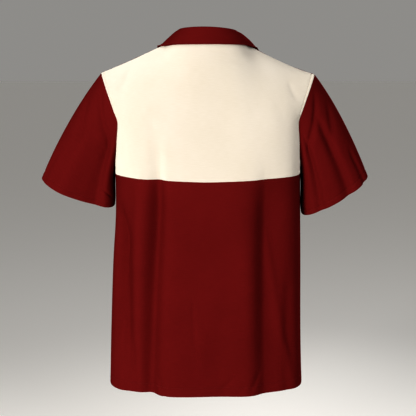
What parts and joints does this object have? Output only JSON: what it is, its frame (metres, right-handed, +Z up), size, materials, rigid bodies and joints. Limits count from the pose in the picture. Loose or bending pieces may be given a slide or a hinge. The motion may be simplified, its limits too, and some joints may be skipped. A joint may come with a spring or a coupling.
{
  "type": "short-sleeved camp-collar shirt",
  "caption": "Short-sleeved camp-collar shirt, hollow as worn, dark with a pale upper back; open neck, hem, cuffs and armholes, buttoned front.",
  "frame": {"origin": "the middle of the neck's base at the height of the neck points, where the wearer's shoulders carry the shirt", "axes": "+Z up, -Y out of the shirt's front, +X towards the wearer's left"},
  "size_m": [0.692, 0.2591, 0.7611],
  "materials": {
    "maroon": "matte",
    "cream": "matte",
    "button": "satin"
  },
  "bodies": {
    "root": {"back_lower": "maroon", "back_upper": "cream", "front_left": "maroon", "front_right": "maroon", "sleeve_left": "maroon", "sleeve_right": "maroon", "collar": "maroon", "lapel_left": "maroon", "lapel_right": "maroon", "button_1": "button", "button_2": "button", "button_3": "button", "button_4": "button", "button_5": "button"}
  },
  "joints": []
}
